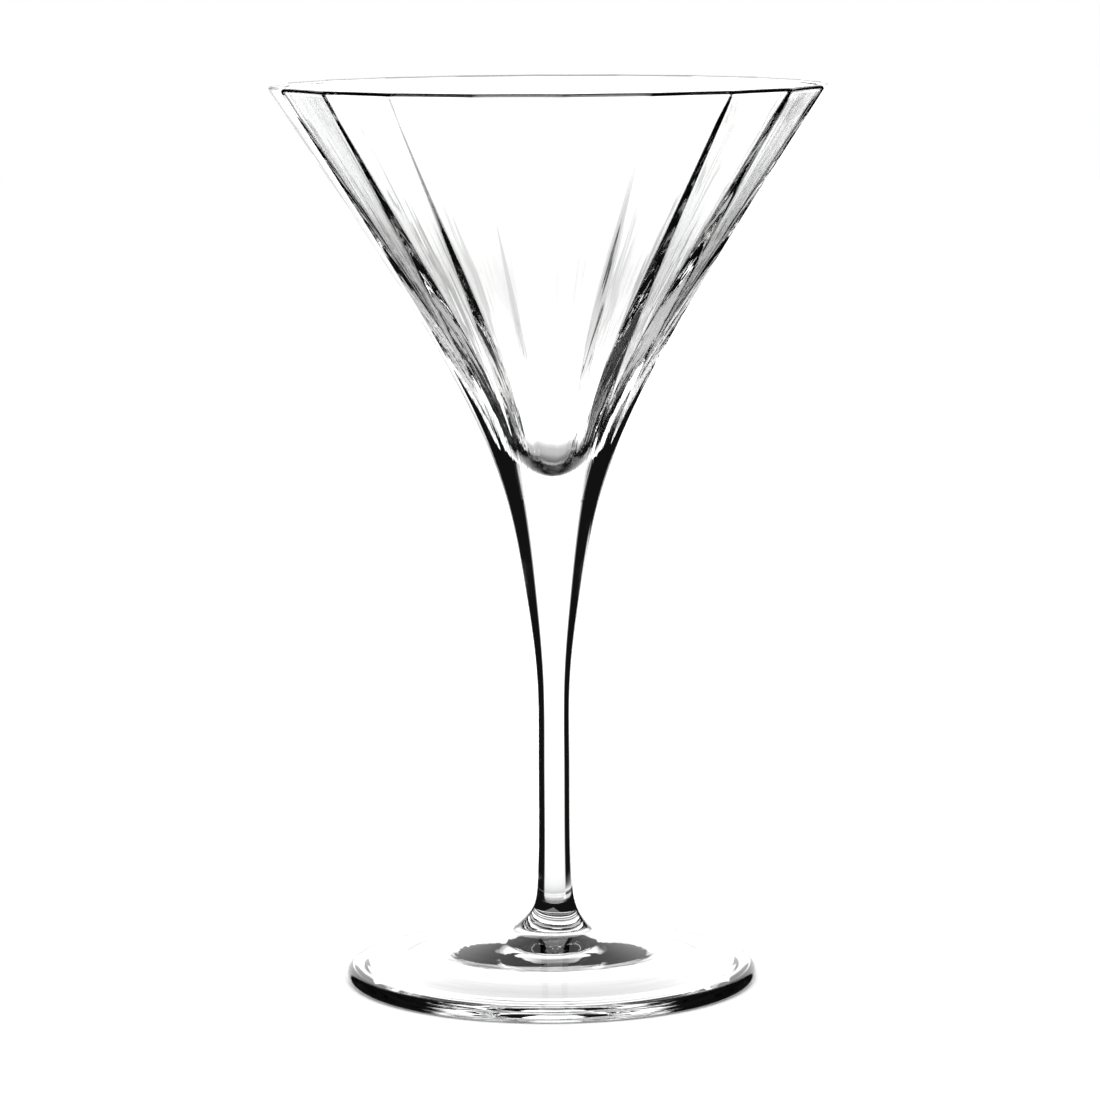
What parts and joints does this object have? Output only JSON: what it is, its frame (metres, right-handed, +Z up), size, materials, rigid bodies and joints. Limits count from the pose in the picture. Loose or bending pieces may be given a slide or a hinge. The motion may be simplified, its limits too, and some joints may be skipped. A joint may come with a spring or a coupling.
{
  "type": "martini glass",
  "caption": "Stemmed cocktail glass: a wide conical bowl with flat optic panels, a slim flared stem and a round foot.",
  "frame": {"origin": "centre of the flat ring that the foot stands on", "axes": "+Z up the axis of the glass; -Y is the front, where the view of it is from"},
  "size_m": [0.1148, 0.1148, 0.187],
  "materials": {
    "bowl_glass": "clear, fire-polished, faint optic panels",
    "stem_glass": "clear, fire-polished, faint drawing lines",
    "foot_glass": "clear, fire-polished, faint spinning rings"
  },
  "bodies": {
    "root": {"bowl": "bowl_glass", "stem": "stem_glass", "foot": "foot_glass"}
  },
  "joints": []
}
